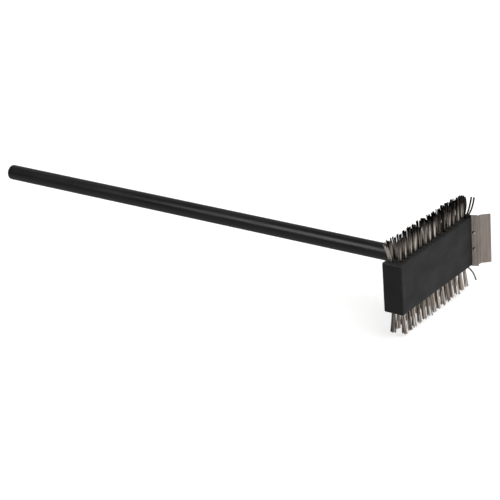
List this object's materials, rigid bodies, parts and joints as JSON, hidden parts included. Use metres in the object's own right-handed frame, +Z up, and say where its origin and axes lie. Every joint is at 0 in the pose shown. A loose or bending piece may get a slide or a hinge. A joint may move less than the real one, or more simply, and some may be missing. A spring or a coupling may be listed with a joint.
{
  "type": "grill cleaning brush",
  "caption": "Double-sided long-handled grill brush: round handle set square into an upright block head, flat steel wire tufts on its top and bottom edges, and a bent scraper blade at one end.",
  "frame": {"origin": "middle of the front face of the head, which is the flat face on the side away from the handle", "axes": "+X along the head towards the scraper, -Y out of the head's front face, so the handle runs along +Y, +Z up through the head's height from the lower to the upper tufts"},
  "size_m": [0.192, 0.7635, 0.1274],
  "materials": {
    "head_paint": "matte black paint on a hardwood block",
    "handle_lacquer": "semi-gloss black lacquer on a hardwood handle",
    "tuft_wire": "flat tempered steel wire, warm grey",
    "anchor_steel": "plain steel strip and pin",
    "scraper_steel": "rolled stainless sheet, satin",
    "fastener_steel": "bright plated steel"
  },
  "bodies": {
    "root": {"blade_rivets": "fastener_steel", "bottom_tuft_anchors": "anchor_steel", "bottom_tufts_01": "tuft_wire", "bottom_tufts_02": "tuft_wire", "bottom_tufts_03": "tuft_wire", "bottom_tufts_04": "tuft_wire", "bottom_tufts_05": "tuft_wire", "bottom_tufts_06": "tuft_wire", "bottom_tufts_07": "tuft_wire", "bottom_tufts_08": "tuft_wire", "bottom_tufts_09": "tuft_wire", "bottom_tufts_10": "tuft_wire", "bottom_tufts_11": "tuft_wire", "bottom_tufts_12": "tuft_wire", "bottom_tufts_13": "tuft_wire", "bottom_tufts_14": "tuft_wire", "bracket_screws": "fastener_steel", "handle": "handle_lacquer", "handle_pin": "anchor_steel", "head_block": "head_paint", "scraper_blade": "scraper_steel", "scraper_bracket": "scraper_steel", "top_tuft_anchors": "anchor_steel", "top_tufts_01": "tuft_wire", "top_tufts_02": "tuft_wire", "top_tufts_03": "tuft_wire", "top_tufts_04": "tuft_wire", "top_tufts_05": "tuft_wire", "top_tufts_06": "tuft_wire", "top_tufts_07": "tuft_wire", "top_tufts_08": "tuft_wire", "top_tufts_09": "tuft_wire", "top_tufts_10": "tuft_wire", "top_tufts_11": "tuft_wire", "top_tufts_12": "tuft_wire", "top_tufts_13": "tuft_wire", "top_tufts_14": "tuft_wire"}
  },
  "joints": []
}
